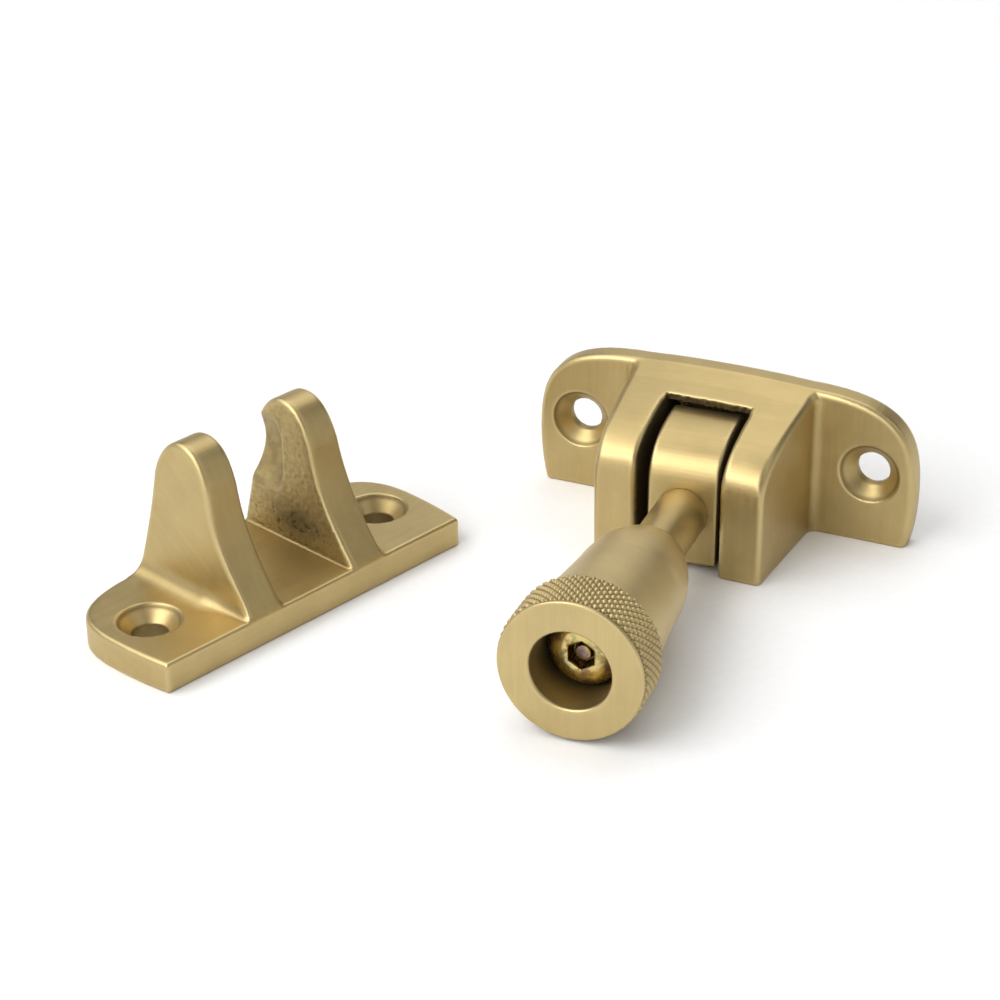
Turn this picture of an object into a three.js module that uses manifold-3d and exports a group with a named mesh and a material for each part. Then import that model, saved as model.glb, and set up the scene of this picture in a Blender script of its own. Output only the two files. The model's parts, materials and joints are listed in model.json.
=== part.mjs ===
// Sash window fastener: a swinging threaded arm with a knurled thumb nut, and its two-horned keep.
// The fastener stands on its straight edge with the arm lying level; the keep lies flat beside it.
// Millimetres. +X runs along the fastener's plate, +Y points out of its fixing face, +Z is up.
// The origin is the middle of the fastener's straight edge, on the surface that it stands on.

import * as THREE from "three";
import { mergeVertices } from "three/addons/utils/BufferGeometryUtils.js";
import Module from "manifold-3d";

const wasm = await Module();
wasm.setup();

// ---- driving dimensions ----------------------------------------------------------------------
// Fastener plate: a straight foot, rounded upper corners and a slightly crowned top.
const PLATE_HALF_LENGTH = 29.1;
const PLATE_HEIGHT = 23.0;
const PLATE_THICKNESS = 3.4;
const EAR_HOLE_X = 22.35;
const EAR_HOLE_Z = 11.0;

// Keep plate: much the same outline, a little shorter and thicker.
const KEEP_HALF_LENGTH = 28.5;
const KEEP_DEPTH = 22.9;
const KEEP_THICKNESS = 4.5;
const KEEP_HOLE_X = 21.4;
const KEEP_HOLE_Y = 10.85;

// Proportions that both outlines share, and each outline's own rounded corner.
const OUTLINE_FOOT_INSET = 0.95;
const OUTLINE_CROWN_START = 12.5;
const OUTLINE_CROWN_DROP = 0.4;
const PLATE_CORNER = { sideTop: 8.1, rise: 16.5, reach: 1.4 };
const KEEP_CORNER = { sideTop: 11.0, rise: 18.6, reach: 3.4 };

// Countersunk screw holes.
const RIM_RADIUS = 4.4;
const RIM_DEPTH = 0.5;
const CONE_TOP_RADIUS = 4.1;
const CONE_DEPTH = 1.6;
const HOLE_RADIUS = 2.5;

// Block with the two cheeks that carry the arm.
const BLOCK_PROJECTION = 18.8;
const BLOCK_CROWN_DEPTH = 0.8;
const BLOCK_HEIGHT = 21.9;
const BLOCK_FRONT_HALF_WIDTH = 12.65;
const BLOCK_BACK_HALF_WIDTH = 13.8;
const BLOCK_FILLET = 1.6;
const BLOCK_SHOULDER_START = 3.0;
const BLOCK_SHOULDER_REACH = 9.8;
const BLOCK_SHOULDER_SLOPE = 1.9;
const BLOCK_SHOULDER_DROP = 3.3;
const CHEEK_FRONT_HEIGHT = 12.5;
const SLOT_HALF_WIDTH = 6.4;
const SLOT_FLOOR = 0.9;
const LIP_REACH = 5.9;
const LIP_UNDERSIDE = 20.0;

// Pivot and knuckle. The pin is driven in from the left, flush, and stops blind inside the right
// cheek. The arm is a loose fit in its slot and lies a little to one side.
const PIVOT_REACH = 9.5;
const PIVOT_HEIGHT = 8.6;
const PIN_RADIUS = 2.0;
const PIN_HOLE_RADIUS = 2.1;
const PIN_LEFT_END = -13.1;
const PIN_RIGHT_END = 11.2;
const PIN_HOLE_END = 11.5;
const ARM_SIDE_TURN = 3.75;
const KNUCKLE_PIN_HOLE_RADIUS = 2.45;
const KNUCKLE_HALF_WIDTH = 5.25;
const KNUCKLE_FRONT = 8.0;
const KNUCKLE_TOP = 10.9;
const KNUCKLE_BOTTOM = 7.8;
const KNUCKLE_BACK_TOP = 4.0;
const KNUCKLE_SHOULDER_FOOT = 4.0;
const KNUCKLE_SHOULDER_REACH = 7.0;
const KNUCKLE_SHOULDER_DROP = 2.0;
const HEEL_RADIUS = 8.2;

// Stem, measured along the arm from the pivot.
const NUT_FACE_REACH = 55.9;
const SHANK_RADIUS = 3.8;
const THREAD_RADIUS = 3.5;
const THREAD_START = 24.0;
const TENON_RADIUS = 3.0;
const TENON_START = 3.6;
const GAP = 0.3;

// Thumb nut, measured from its outer face inwards.
const NUT_LENGTH = 33.8;
const KNURL_RADIUS = 10.2;
const KNURL_FRONT = 0.7;
const KNURL_BACK = 7.6;
const NUT_RIM_RADIUS = 9.95;
const BARREL_FRONT_RADIUS = 8.95;
const BARREL_STEP = 8.1;
const NOSE_START = 22.3;
const NOSE_RADIUS = 7.75;
const NOSE_REACH = 14.1;
const NOSE_STEPS = 10;
const COUNTERBORE_RADIUS = 5.55;
const COUNTERBORE_DEPTH = 10.3;
const NUT_THREAD_RADIUS = 3.85;
const NUT_THREAD_END = 26.8;
const NUT_MOUTH_RADIUS = 4.1;

// Locking screw: a button head with a pinned hexagon socket.
const HEAD_RECESS = 4.4;
const HEAD_HEIGHT = 3.3;
const HEAD_LAND = 0.5;
const HEAD_RADIUS = 5.25;
const HEAD_FLAT_RADIUS = 2.3;
const DOME_STEPS = 5;
const SCREW_RADIUS = 2.5;
const SCREW_LENGTH = 12.0;
const SOCKET_ACROSS_FLATS = 3.5;
const SOCKET_DEPTH = 2.4;
const SOCKET_PIN_RADIUS = 1.1;
const SOCKET_PIN_SETBACK = 0.85;

// Keep's two horns. Each end profile passes a front shoulder, a crest and a back shoulder, given as
// [distance in from the straight edge, height]; the bend pairs are the handles of the curves between.
const HORN_INNER_X = 6.5;
const HORN_TOP_OUTER_X = 11.9;
const HORN_BASE_OUTER_X = 13.1;
const HORN_FILLET = 2.4;
const HORN_HEIGHT = 26.5;
const HORN_CREST_Y = 13.6;
const HORN_FRONT_BENDS = [[3.6, 9.4], [6.9, 13.6]];
const HORN_FRONT_SHOULDER = [8.0, 20.6];
const HORN_FRONT_RISE = [9.1, 24.4];
const HORN_CREST_HANDLE = 2.8;
const HORN_BACK_RISE = [18.6, 23.6];
const HORN_BACK_SHOULDER = [19.3, 20.6];
const HORN_BACK_BEND = [20.0, 14.8];

// Round seat for the nut's nose, sunk into the horns' backs.
const SEAT_RADIUS = 8.5;
const SEAT_CORNER = 2.0;
const SEAT_FLOOR_Y = 14.0;
const SEAT_HEIGHT = 17.6;

// Where the keep lies beside the fastener.
const KEEP_X = -40.4;
const KEEP_Y = -51.7;
const KEEP_TURN = 70.7;

const ROUND_SEGMENTS = 48;
const SMALL_SEGMENTS = 32;
const PIN_SEGMENTS = 12;
const SEAT_CORNER_STEPS = 4;
const CURVE_SEGMENTS = 14;
const CUT_MARGIN = 2.0;

const DEGREE = Math.PI / 180;
const EAR_FACE_Y = -PLATE_THICKNESS / 2;
const BLOCK_FRONT_Y = EAR_FACE_Y - BLOCK_PROJECTION;
const PIVOT_Y = EAR_FACE_Y - PIVOT_REACH;

// ---- solids ----------------------------------------------------------------------------------
function toManifold(geometry) {
  const bare = geometry.clone();
  bare.deleteAttribute("normal");
  bare.deleteAttribute("uv");
  const merged = mergeVertices(bare, 1e-5);
  const vertProperties = new Float32Array(merged.attributes.position.array);
  const triVerts = new Uint32Array(merged.index.array);
  return new wasm.Manifold(new wasm.Mesh({ numProp: 3, vertProperties, triVerts }));
}

function toGeometry(solid) {
  const mesh = solid.getMesh();
  const geometry = new THREE.BufferGeometry();
  const positions = new Float32Array(mesh.vertProperties);
  geometry.setAttribute("position", new THREE.BufferAttribute(positions, 3));
  geometry.setIndex(new THREE.BufferAttribute(new Uint32Array(mesh.triVerts), 1));
  geometry.computeVertexNormals();
  return geometry;
}

// Extrudes an outline from low to high along one axis: along "z" the outline is (x, y),
// along "y" it is (x, z) and along "x" it is (y, z).
function prism(outline, low, high, axis) {
  const geometry = new THREE.ExtrudeGeometry(outline, {
    depth: high - low,
    bevelEnabled: false,
    curveSegments: CURVE_SEGMENTS,
  });
  if (axis === "y") {
    geometry.translate(0, 0, -high);
    geometry.rotateX(90 * DEGREE);
  } else {
    geometry.translate(0, 0, low);
  }
  if (axis === "x") {
    geometry.rotateX(90 * DEGREE);
    geometry.rotateZ(90 * DEGREE);
  }
  return toManifold(geometry);
}

// A solid of revolution about the Y axis, from [radius, y] points that start and end on the axis
// or close on themselves.
function turned(points, segments) {
  const profile = points.map(([radius, y]) => new THREE.Vector2(radius, y));
  return toManifold(new THREE.LatheGeometry(profile, segments));
}

function polygon(points) {
  return new THREE.Shape(points.map(([a, b]) => new THREE.Vector2(a, b)));
}

function placed(solid, matrix) {
  const geometry = toGeometry(solid);
  geometry.applyMatrix4(matrix);
  return toManifold(geometry);
}

function moved(solid, x, y, z) {
  return placed(solid, new THREE.Matrix4().makeTranslation(x, y, z));
}

// Plate outline: its foot is on the first axis, and its crowned top is at the given depth.
function plateOutline(halfLength, depth, corner) {
  const foot = halfLength - OUTLINE_FOOT_INSET;
  const crownEdge = depth - OUTLINE_CROWN_DROP;
  const reach = halfLength - corner.reach;
  const rise = corner.rise;
  const start = OUTLINE_CROWN_START;
  const side = corner.sideTop;
  const shape = new THREE.Shape();
  shape.moveTo(-foot, 0);
  shape.lineTo(foot, 0);
  shape.quadraticCurveTo(halfLength, side / 2, halfLength, side);
  shape.bezierCurveTo(halfLength, rise, reach, crownEdge, start, crownEdge);
  shape.quadraticCurveTo(start / 2, depth, 0, depth);
  shape.quadraticCurveTo(-start / 2, depth, -start, crownEdge);
  shape.bezierCurveTo(-reach, crownEdge, -halfLength, rise, -halfLength, side);
  shape.quadraticCurveTo(-halfLength, side / 2, -foot, 0);
  return shape;
}

// Cuts a countersunk hole along +Y, with its mouth in the plane y = 0.
function countersinkCutter(thickness) {
  return turned([
    [0, -CUT_MARGIN],
    [RIM_RADIUS, -CUT_MARGIN],
    [RIM_RADIUS, 0],
    [CONE_TOP_RADIUS, RIM_DEPTH],
    [HOLE_RADIUS, RIM_DEPTH + CONE_DEPTH],
    [HOLE_RADIUS, thickness + CUT_MARGIN],
    [0, thickness + CUT_MARGIN],
  ], SMALL_SEGMENTS);
}

// ---- fastener body ---------------------------------------------------------------------------
function blockSide() {
  const shoulder = EAR_FACE_Y - BLOCK_SHOULDER_START;
  const shape = new THREE.Shape();
  shape.moveTo(BLOCK_FRONT_Y, 0);
  shape.lineTo(0, 0);
  shape.lineTo(0, PLATE_HEIGHT);
  shape.lineTo(-BLOCK_CROWN_DEPTH, PLATE_HEIGHT);
  shape.lineTo(shoulder, BLOCK_HEIGHT);
  shape.bezierCurveTo(
    shoulder - BLOCK_SHOULDER_REACH, BLOCK_HEIGHT - BLOCK_SHOULDER_SLOPE,
    BLOCK_FRONT_Y, BLOCK_HEIGHT - BLOCK_SHOULDER_DROP,
    BLOCK_FRONT_Y, CHEEK_FRONT_HEIGHT,
  );
  shape.lineTo(BLOCK_FRONT_Y, 0);
  return shape;
}

// The block's plan: it narrows towards its front and flares into the ears.
function blockPlan() {
  const wide = BLOCK_BACK_HALF_WIDTH;
  const flare = wide + BLOCK_FILLET;
  const flareFront = EAR_FACE_Y - BLOCK_FILLET;
  const shape = new THREE.Shape();
  shape.moveTo(BLOCK_FRONT_HALF_WIDTH, BLOCK_FRONT_Y);
  shape.lineTo(wide, flareFront);
  shape.quadraticCurveTo(wide, EAR_FACE_Y, flare, EAR_FACE_Y);
  shape.lineTo(flare, 0);
  shape.lineTo(-flare, 0);
  shape.lineTo(-flare, EAR_FACE_Y);
  shape.quadraticCurveTo(-wide, EAR_FACE_Y, -wide, flareFront);
  shape.lineTo(-BLOCK_FRONT_HALF_WIDTH, BLOCK_FRONT_Y);
  return shape;
}

// The slot is open at the front and at the straight edge, and a lip overhangs its back.
function slotSide() {
  const front = BLOCK_FRONT_Y - CUT_MARGIN;
  const back = EAR_FACE_Y - SLOT_FLOOR;
  const lipFront = EAR_FACE_Y - LIP_REACH;
  const top = PLATE_HEIGHT + CUT_MARGIN;
  return polygon([
    [front, -CUT_MARGIN],
    [back, -CUT_MARGIN],
    [back, LIP_UNDERSIDE],
    [lipFront, LIP_UNDERSIDE],
    [lipFront, top],
    [front, top],
  ]);
}

// A plain rod on the X axis, from low to high.
function crossRod(radius, low, high) {
  const alongY = turned([
    [0, low],
    [radius, low],
    [radius, high],
    [0, high],
  ], SMALL_SEGMENTS);
  return placed(alongY, new THREE.Matrix4().makeRotationZ(-90 * DEGREE));
}

function bodyCasting() {
  const outline = plateOutline(PLATE_HALF_LENGTH, PLATE_HEIGHT, PLATE_CORNER);
  const plate = prism(outline, EAR_FACE_Y, -EAR_FACE_Y, "y");
  const flare = BLOCK_BACK_HALF_WIDTH + BLOCK_FILLET;
  const side = prism(blockSide(), -flare, flare, "x");
  const plan = prism(blockPlan(), 0, PLATE_HEIGHT, "z");
  const block = side.intersect(plan).intersect(prism(outline, BLOCK_FRONT_Y, 0, "y"));
  const slot = prism(slotSide(), -SLOT_HALF_WIDTH, SLOT_HALF_WIDTH, "x");
  const pinHole = crossRod(PIN_HOLE_RADIUS, -BLOCK_BACK_HALF_WIDTH - CUT_MARGIN, PIN_HOLE_END);
  let casting = plate.add(block).subtract(slot);
  casting = casting.subtract(moved(pinHole, 0, PIVOT_Y, PIVOT_HEIGHT));
  for (const side of [-1, 1]) {
    const cutter = countersinkCutter(PLATE_THICKNESS);
    casting = casting.subtract(moved(cutter, side * EAR_HOLE_X, EAR_FACE_Y, EAR_HOLE_Z));
  }
  return casting;
}

function pivotPin() {
  return moved(crossRod(PIN_RADIUS, PIN_LEFT_END, PIN_RIGHT_END), 0, PIVOT_Y, PIVOT_HEIGHT);
}

// ---- arm -------------------------------------------------------------------------------------
// The arm's pieces are drawn from the pivot, with the arm along -Y.
function knuckleSide() {
  const heelTop = Math.sqrt(HEEL_RADIUS ** 2 - KNUCKLE_BACK_TOP ** 2);
  const heelFoot = Math.sqrt(HEEL_RADIUS ** 2 - KNUCKLE_BOTTOM ** 2);
  const heelStartAngle = Math.atan2(-KNUCKLE_BOTTOM, heelFoot);
  const heelEndAngle = Math.atan2(heelTop, KNUCKLE_BACK_TOP);
  const outline = new THREE.Shape();
  outline.moveTo(-KNUCKLE_FRONT, -KNUCKLE_BOTTOM);
  outline.lineTo(heelFoot, -KNUCKLE_BOTTOM);
  outline.absarc(0, 0, HEEL_RADIUS, heelStartAngle, heelEndAngle, false);
  outline.lineTo(KNUCKLE_BACK_TOP, KNUCKLE_TOP);
  outline.bezierCurveTo(
    KNUCKLE_BACK_TOP - KNUCKLE_SHOULDER_REACH, KNUCKLE_TOP,
    -KNUCKLE_FRONT, KNUCKLE_TOP - KNUCKLE_SHOULDER_DROP,
    -KNUCKLE_FRONT, KNUCKLE_SHOULDER_FOOT,
  );
  outline.lineTo(-KNUCKLE_FRONT, -KNUCKLE_BOTTOM);
  return outline;
}

function knuckle() {
  const block = prism(knuckleSide(), -KNUCKLE_HALF_WIDTH, KNUCKLE_HALF_WIDTH, "x");
  const mouth = -KNUCKLE_FRONT - CUT_MARGIN;
  const tenonHole = turned([
    [0, mouth],
    [TENON_RADIUS + GAP, mouth],
    [TENON_RADIUS + GAP, -TENON_START + GAP],
    [0, -TENON_START + GAP],
  ], SMALL_SEGMENTS);
  const pinHoleEnd = KNUCKLE_HALF_WIDTH + CUT_MARGIN;
  const pinHole = crossRod(KNUCKLE_PIN_HOLE_RADIUS, -pinHoleEnd, pinHoleEnd);
  return block.subtract(tenonHole).subtract(pinHole);
}

function stemStud() {
  const shoulder = -KNUCKLE_FRONT - GAP;
  const end = -NUT_FACE_REACH + HEAD_RECESS + HEAD_HEIGHT + GAP;
  const boreBottom = end + SCREW_LENGTH;
  const boreRadius = SCREW_RADIUS + GAP;
  return turned([
    [0, boreBottom],
    [boreRadius, boreBottom],
    [boreRadius, end],
    [THREAD_RADIUS, end],
    [THREAD_RADIUS, -THREAD_START],
    [SHANK_RADIUS, -THREAD_START + GAP],
    [SHANK_RADIUS, shoulder],
    [TENON_RADIUS, shoulder],
    [TENON_RADIUS, -TENON_START],
    [0, -TENON_START],
  ], SMALL_SEGMENTS);
}

// The nut's nose is part of an ellipse, cut off at the mouth.
function nosePoints() {
  const points = [];
  for (let step = 0; step <= NOSE_STEPS; step += 1) {
    const along = (NUT_LENGTH - NOSE_START) * (step / NOSE_STEPS);
    points.push([NOSE_RADIUS * Math.sqrt(1 - (along / NOSE_REACH) ** 2), NOSE_START + along]);
  }
  return points;
}

function thumbNut() {
  const fromFace = [
    [COUNTERBORE_RADIUS, 0],
    [NUT_RIM_RADIUS, 0],
    [KNURL_RADIUS, KNURL_FRONT],
    [KNURL_RADIUS, KNURL_BACK],
    [BARREL_FRONT_RADIUS, BARREL_STEP],
    ...nosePoints(),
    [NUT_MOUTH_RADIUS, NUT_LENGTH],
    [NUT_MOUTH_RADIUS, NUT_THREAD_END],
    [NUT_THREAD_RADIUS, NUT_THREAD_END],
    [NUT_THREAD_RADIUS, COUNTERBORE_DEPTH],
    [COUNTERBORE_RADIUS, COUNTERBORE_DEPTH],
    [COUNTERBORE_RADIUS, 0],
  ];
  return turned(fromFace.map(([radius, depth]) => [radius, depth - NUT_FACE_REACH]), ROUND_SEGMENTS);
}

// The head's dome is a quarter of an ellipse, from the flat round the socket to its edge.
function domePoints(crown) {
  const points = [];
  for (let step = 0; step <= DOME_STEPS; step += 1) {
    const angle = (step / DOME_STEPS) * 90 * DEGREE;
    const radius = HEAD_FLAT_RADIUS + (HEAD_RADIUS - HEAD_FLAT_RADIUS) * Math.sin(angle);
    points.push([radius, crown + (HEAD_HEIGHT - HEAD_LAND) * (1 - Math.cos(angle))]);
  }
  return points;
}

function lockingScrew() {
  const crown = -NUT_FACE_REACH + HEAD_RECESS;
  const underside = crown + HEAD_HEIGHT;
  const screw = turned([
    [0, crown],
    ...domePoints(crown),
    [HEAD_RADIUS, underside],
    [SCREW_RADIUS, underside],
    [SCREW_RADIUS, underside + SCREW_LENGTH],
    [0, underside + SCREW_LENGTH],
  ], SMALL_SEGMENTS);
  const cornerRadius = SOCKET_ACROSS_FLATS / Math.sqrt(3);
  const socket = turned([
    [0, crown - CUT_MARGIN],
    [cornerRadius, crown - CUT_MARGIN],
    [cornerRadius, crown + SOCKET_DEPTH],
    [0, crown + SOCKET_DEPTH],
  ], 6);
  const centrePin = turned([
    [0, crown + SOCKET_PIN_SETBACK],
    [SOCKET_PIN_RADIUS, crown + SOCKET_PIN_SETBACK],
    [SOCKET_PIN_RADIUS, crown + SOCKET_DEPTH + CUT_MARGIN],
    [0, crown + SOCKET_DEPTH + CUT_MARGIN],
  ], PIN_SEGMENTS);
  return screw.subtract(socket.subtract(centrePin));
}

// ---- keep ------------------------------------------------------------------------------------
// The keep is drawn lying flat, with its straight edge along y = 0 and its rounded edge at +Y.
// A horn's side view: a long concave front, a round top and a leaning back.
function hornSide() {
  const shape = new THREE.Shape();
  shape.moveTo(0, 0);
  shape.lineTo(KEEP_DEPTH, 0);
  shape.lineTo(KEEP_DEPTH, KEEP_THICKNESS);
  shape.quadraticCurveTo(...HORN_BACK_BEND, ...HORN_BACK_SHOULDER);
  shape.bezierCurveTo(
    ...HORN_BACK_RISE,
    HORN_CREST_Y + HORN_CREST_HANDLE, HORN_HEIGHT,
    HORN_CREST_Y, HORN_HEIGHT,
  );
  shape.bezierCurveTo(
    HORN_CREST_Y - HORN_CREST_HANDLE, HORN_HEIGHT,
    ...HORN_FRONT_RISE,
    ...HORN_FRONT_SHOULDER,
  );
  shape.bezierCurveTo(...HORN_FRONT_BENDS[1], ...HORN_FRONT_BENDS[0], 0, KEEP_THICKNESS);
  shape.lineTo(0, 0);
  return shape;
}

// One horn's front view, flaring into the plate at its outer foot.
function hornFront(side) {
  const flareX = HORN_BASE_OUTER_X + HORN_FILLET;
  const filletTop = KEEP_THICKNESS + HORN_FILLET;
  const shape = new THREE.Shape();
  shape.moveTo(side * HORN_INNER_X, 0);
  shape.lineTo(side * flareX, 0);
  shape.lineTo(side * flareX, KEEP_THICKNESS);
  shape.quadraticCurveTo(
    side * HORN_BASE_OUTER_X, KEEP_THICKNESS,
    side * HORN_BASE_OUTER_X, filletTop,
  );
  shape.lineTo(side * HORN_TOP_OUTER_X, HORN_HEIGHT);
  shape.lineTo(side * HORN_INNER_X, HORN_HEIGHT);
  shape.lineTo(side * HORN_INNER_X, 0);
  return shape;
}

function seatCutter() {
  const points = [[0, SEAT_FLOOR_Y]];
  for (let step = 0; step <= SEAT_CORNER_STEPS; step += 1) {
    const angle = (step / SEAT_CORNER_STEPS) * 90 * DEGREE;
    points.push([
      SEAT_RADIUS - SEAT_CORNER * (1 - Math.sin(angle)),
      SEAT_FLOOR_Y + SEAT_CORNER * (1 - Math.cos(angle)),
    ]);
  }
  points.push([SEAT_RADIUS, KEEP_DEPTH + CUT_MARGIN], [0, KEEP_DEPTH + CUT_MARGIN]);
  return moved(turned(points, ROUND_SEGMENTS), 0, 0, SEAT_HEIGHT);
}

function keepCasting() {
  const outline = plateOutline(KEEP_HALF_LENGTH, KEEP_DEPTH, KEEP_CORNER);
  const plate = prism(outline, 0, KEEP_THICKNESS, "z");
  const reach = HORN_BASE_OUTER_X + HORN_FILLET;
  const fronts = prism(hornFront(-1), 0, KEEP_DEPTH, "y").add(prism(hornFront(1), 0, KEEP_DEPTH, "y"));
  const sides = prism(hornSide(), -reach, reach, "x");
  const horns = sides.intersect(fronts).intersect(prism(outline, 0, HORN_HEIGHT, "z"));
  let casting = plate.add(horns).subtract(seatCutter());
  const downwards = new THREE.Matrix4().makeRotationX(-90 * DEGREE);
  const cutter = placed(countersinkCutter(KEEP_THICKNESS), downwards);
  for (const side of [-1, 1]) {
    casting = casting.subtract(moved(cutter, side * KEEP_HOLE_X, KEEP_HOLE_Y, KEEP_THICKNESS));
  }
  return casting;
}

// ---- assembly --------------------------------------------------------------------------------
const satinBrass = { color: 0xb59c5f, roughness: 0.38, metalness: 1.0 };
const turnedBrass = { color: 0xbca468, roughness: 0.34, metalness: 1.0 };
const platedSteel = { color: 0xb49a4c, roughness: 0.3, metalness: 1.0 };
const plainSteel = { color: 0x8d8f92, roughness: 0.4, metalness: 1.0 };

function piece(name, solid, finish) {
  const mesh = new THREE.Mesh(toGeometry(solid), new THREE.MeshStandardMaterial(finish));
  mesh.name = name;
  return mesh;
}

// The arm is lifted until the back edge of the nut's knurl just touches the standing surface.
function armLift() {
  const along = NUT_FACE_REACH - KNURL_BACK;
  const slant = Math.hypot(along, KNURL_RADIUS);
  return Math.acos(PIVOT_HEIGHT / slant) - Math.atan2(along, KNURL_RADIUS);
}

const object = new THREE.Group();
object.add(piece("body_casting", bodyCasting(), satinBrass));
object.add(piece("pivot_pin", pivotPin(), plainSteel));

const lifted = new THREE.Group();
lifted.rotation.x = -armLift();
lifted.add(piece("knuckle", knuckle(), satinBrass));
lifted.add(piece("stem_stud", stemStud(), turnedBrass));
lifted.add(piece("thumb_nut", thumbNut(), turnedBrass));
lifted.add(piece("locking_screw", lockingScrew(), platedSteel));

const arm = new THREE.Group();
arm.position.set(0, PIVOT_Y, PIVOT_HEIGHT);
arm.rotation.z = ARM_SIDE_TURN * DEGREE;
arm.add(lifted);
object.add(arm);

const keep = new THREE.Group();
keep.position.set(KEEP_X, KEEP_Y, 0);
keep.rotation.z = KEEP_TURN * DEGREE;
keep.add(piece("keep_casting", keepCasting(), satinBrass));
object.add(keep);

export default object;
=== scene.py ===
import json
import math

import bpy
import numpy as np
import openvdb
from mathutils import Matrix, Vector

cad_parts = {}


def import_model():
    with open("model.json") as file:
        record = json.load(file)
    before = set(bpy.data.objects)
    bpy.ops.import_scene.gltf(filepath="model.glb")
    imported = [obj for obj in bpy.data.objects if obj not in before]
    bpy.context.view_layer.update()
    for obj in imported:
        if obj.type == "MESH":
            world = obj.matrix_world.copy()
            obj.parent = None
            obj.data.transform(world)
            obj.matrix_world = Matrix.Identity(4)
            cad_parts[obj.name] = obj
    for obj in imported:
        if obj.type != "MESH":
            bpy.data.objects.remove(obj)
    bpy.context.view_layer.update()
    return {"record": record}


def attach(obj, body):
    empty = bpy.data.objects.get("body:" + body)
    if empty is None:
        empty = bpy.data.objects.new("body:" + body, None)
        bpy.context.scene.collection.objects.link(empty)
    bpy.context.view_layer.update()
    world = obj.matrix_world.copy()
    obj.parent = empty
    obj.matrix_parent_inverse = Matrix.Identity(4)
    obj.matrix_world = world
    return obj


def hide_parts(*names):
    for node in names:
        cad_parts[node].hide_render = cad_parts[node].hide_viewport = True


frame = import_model()

# Sash window fastener and keep, in brushed brass. Shapes are worked out in millimetres and stored in
# metres. The castings are distance fields turned into fine meshes; the turned pieces are lathed.
MM = 0.001
DEGREE = math.pi / 180

# ---- sizes shared with the CAD, in millimetres -------------------------------------------------
PLATE_HALF_LENGTH = 29.1
PLATE_HEIGHT = 23.0
BLOCK_CROWN_DEPTH = 0.8
BLOCK_HEIGHT = 21.9
PLATE_FACE = 1.7
EAR_HOLE_X = 22.35
EAR_HOLE_Z = 11.0
KEEP_HALF_LENGTH = 28.5
KEEP_DEPTH = 22.9
KEEP_THICKNESS = 4.5
KEEP_HOLE_X = 21.4
KEEP_HOLE_Y = 10.85
FOOT_INSET = 0.95
CROWN_START = 12.5
CROWN_DROP = 0.4
PLATE_CORNER = (8.1, 16.5, 1.4)
KEEP_CORNER = (11.0, 18.6, 3.4)
RIM_RADIUS = 4.4
RIM_DEPTH = 0.5
CONE_TOP_RADIUS = 4.1
CONE_DEPTH = 1.6
HOLE_RADIUS = 2.5
BLOCK_FRONT_Y = -20.5
BLOCK_FRONT_HALF_WIDTH = 12.65
BLOCK_BACK_HALF_WIDTH = 13.8
BLOCK_FILLET = 1.6
BLOCK_SHOULDER_START = 3.0
BLOCK_SHOULDER_REACH = 9.8
BLOCK_SHOULDER_SLOPE = 1.9
BLOCK_SHOULDER_DROP = 3.3
CHEEK_FRONT_HEIGHT = 12.5
SLOT_HALF_WIDTH = 6.4
SLOT_BACK_Y = -2.6
LIP_Y = -7.6
LIP_UNDERSIDE = 20.0
PIVOT = (0.0, -11.2, 8.6)
PIN_RADIUS = 2.0
PIN_HOLE_RADIUS = 2.1
PIN_ENDS = (-13.1, 11.2)
PIN_HOLE_END = 11.5
KNUCKLE_PIN_HOLE_RADIUS = 2.45
KNUCKLE_HALF_WIDTH = 5.25
KNUCKLE_FRONT = 8.0
KNUCKLE_TOP = 10.9
KNUCKLE_BOTTOM = 7.8
KNUCKLE_BACK_TOP = 4.0
KNUCKLE_SHOULDER_FOOT = 4.0
KNUCKLE_SHOULDER_REACH = 7.0
KNUCKLE_SHOULDER_DROP = 2.0
HEEL_RADIUS = 8.2
NUT_FACE_REACH = 55.9
SHANK_RADIUS = 3.8
THREAD_RADIUS = 3.5
THREAD_START = 24.0
TENON_RADIUS = 3.0
TENON_START = 3.6
GAP = 0.3
NUT_LENGTH = 33.8
KNURL_RADIUS = 10.2
KNURL_FRONT = 0.7
KNURL_BACK = 7.6
NUT_RIM_RADIUS = 9.95
BARREL_FRONT_RADIUS = 8.95
BARREL_STEP = 8.1
NOSE_START = 22.3
NOSE_RADIUS = 7.75
NOSE_REACH = 14.1
COUNTERBORE_RADIUS = 5.55
COUNTERBORE_DEPTH = 10.3
NUT_THREAD_RADIUS = 3.85
NUT_THREAD_END = 26.8
NUT_MOUTH_RADIUS = 4.1
HEAD_RECESS = 4.4
HEAD_HEIGHT = 3.3
HEAD_LAND = 0.5
HEAD_RADIUS = 5.25
HEAD_FLAT_RADIUS = 2.3
SCREW_RADIUS = 2.5
SCREW_LENGTH = 12.0
SOCKET_ACROSS_FLATS = 3.5
SOCKET_DEPTH = 2.4
SOCKET_PIN_RADIUS = 1.1
SOCKET_PIN_SETBACK = 0.85
HORN_INNER_X = 6.5
HORN_TOP_OUTER_X = 11.9
HORN_BASE_OUTER_X = 13.1
HORN_FILLET = 3.0
HORN_HEIGHT = 26.5
HORN_CREST_Y = 13.6
HORN_FRONT_BENDS = ((3.6, 9.4), (6.9, 13.6))
HORN_FRONT_SHOULDER = (8.0, 20.6)
HORN_FRONT_RISE = (9.1, 24.4)
HORN_CREST_HANDLE = 2.8
HORN_BACK_RISE = (18.6, 23.6)
HORN_BACK_SHOULDER = (19.3, 20.6)
HORN_BACK_BEND = (20.0, 14.8)
SEAT_RADIUS = 8.5
SEAT_CORNER = 2.0
SEAT_FLOOR_Y = 14.0
SEAT_HEIGHT = 17.6
KEEP_PLACE = (-40.4, -51.7)
KEEP_TURN = 70.7

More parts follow.
